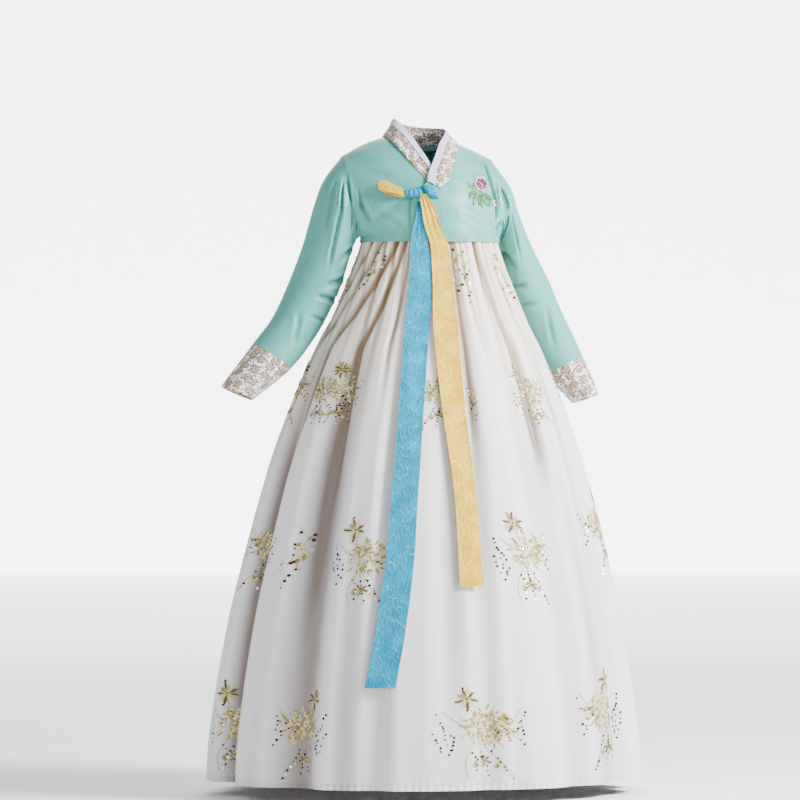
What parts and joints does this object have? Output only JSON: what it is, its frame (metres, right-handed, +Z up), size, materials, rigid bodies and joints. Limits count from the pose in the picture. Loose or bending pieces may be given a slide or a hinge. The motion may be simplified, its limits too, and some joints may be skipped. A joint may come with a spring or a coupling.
{
  "type": "korean hanbok",
  "caption": "Worn hanbok: short mint jacket with crossed brocade collar, cuffs and ribbon bow over a full, pleated, embroidered ivory wrap skirt, empty inside.",
  "frame": {"origin": "on the wearer's shoulders, under the middle of the jacket's shoulder line, where the jacket rests", "axes": "+Z up, the garment's front faces -Y, the wearer's left is at +X"},
  "size_m": [0.9558, 0.786, 1.4389],
  "materials": {
    "jacket_satin": "soft mint satin",
    "brocade": "white brocade with gold-brown blossoms",
    "white_cotton": "stiff plain white strip",
    "blue_ribbon": "sky blue satin ribbon with a crackled relief",
    "yellow_ribbon": "yellow satin ribbon with a crackled relief",
    "skirt_cloth": "ivory organza over satin",
    "gold_thread": "pale gold sewing and embroidery thread",
    "flower_thread": "magenta and green embroidery thread",
    "sequin": "small dark, gold and silver sequins"
  },
  "bodies": {
    "root": {"chima_waistband": "skirt_cloth", "chima_width_1": "skirt_cloth", "chima_width_2": "skirt_cloth", "chima_width_3": "skirt_cloth", "chima_width_4": "skirt_cloth", "chima_width_5": "skirt_cloth", "jeogori_right": "jacket_satin", "jeogori_left": "jacket_satin", "jeogori_gore_left": "jacket_satin", "sleeve_right": "jacket_satin", "sleeve_left": "jacket_satin", "cuff_right": "brocade", "cuff_left": "brocade", "collar": "brocade", "dongjeong": "white_cotton", "goreum_knot": "blue_ribbon", "goreum_wrap": "blue_ribbon", "goreum_blue_tail": "blue_ribbon", "goreum_loop": "yellow_ribbon", "goreum_yellow_tail": "yellow_ribbon"}
  },
  "joints": []
}
